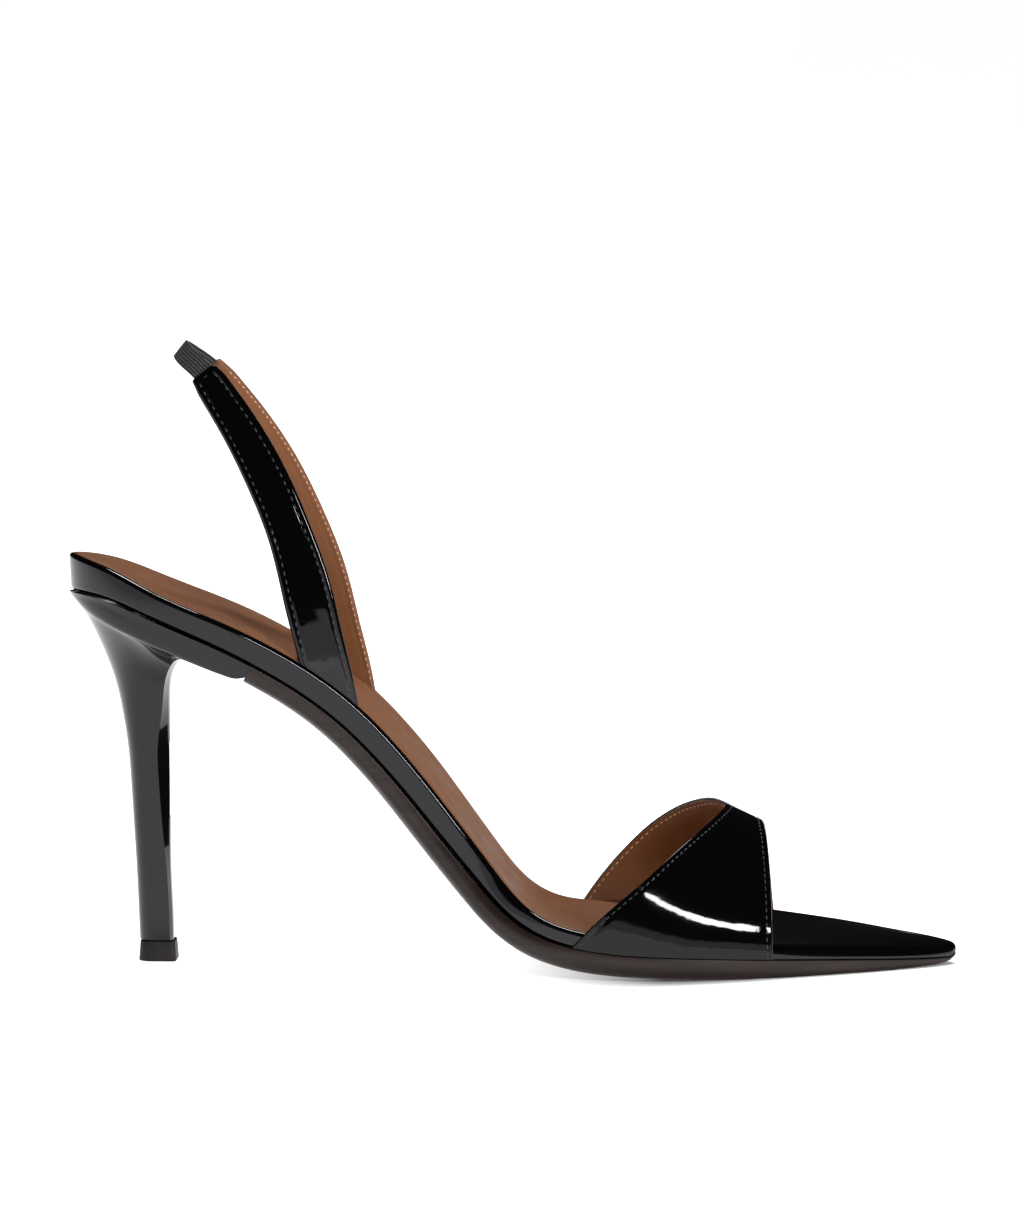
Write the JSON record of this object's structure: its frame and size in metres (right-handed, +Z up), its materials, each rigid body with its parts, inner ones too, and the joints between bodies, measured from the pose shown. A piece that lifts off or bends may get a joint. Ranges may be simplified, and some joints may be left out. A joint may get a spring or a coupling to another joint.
{
  "type": "slingback sandal",
  "caption": "High-heeled slingback sandal: pointed open sole, arched toe strap with a V throat, slender covered heel and an elastic sling round the back.",
  "frame": {"origin": "centre of the heel tip's flat face, on the floor", "axes": "+X towards the toe, +Y towards the medial (big toe) side, +Z up"},
  "size_m": [0.2172, 0.0744, 0.1522],
  "materials": {
    "patent_leather": "black patent, mirror gloss with a faint orange-peel",
    "tan_leather": "smooth tan lining leather, satin, fine grain",
    "sole_leather": "dark brown sole leather with a burnished edge",
    "elastic": "dark grey ribbed elastic",
    "tip_rubber": "matte dark rubber"
  },
  "bodies": {
    "root": {"outsole": "sole_leather", "insole_board": "patent_leather", "sock": "tan_leather", "vamp": "patent_leather", "sling_strap_lateral": "patent_leather", "sling_strap_medial": "patent_leather", "sling_elastic": "elastic", "heel": "patent_leather", "heel_tip": "tip_rubber"}
  },
  "joints": []
}
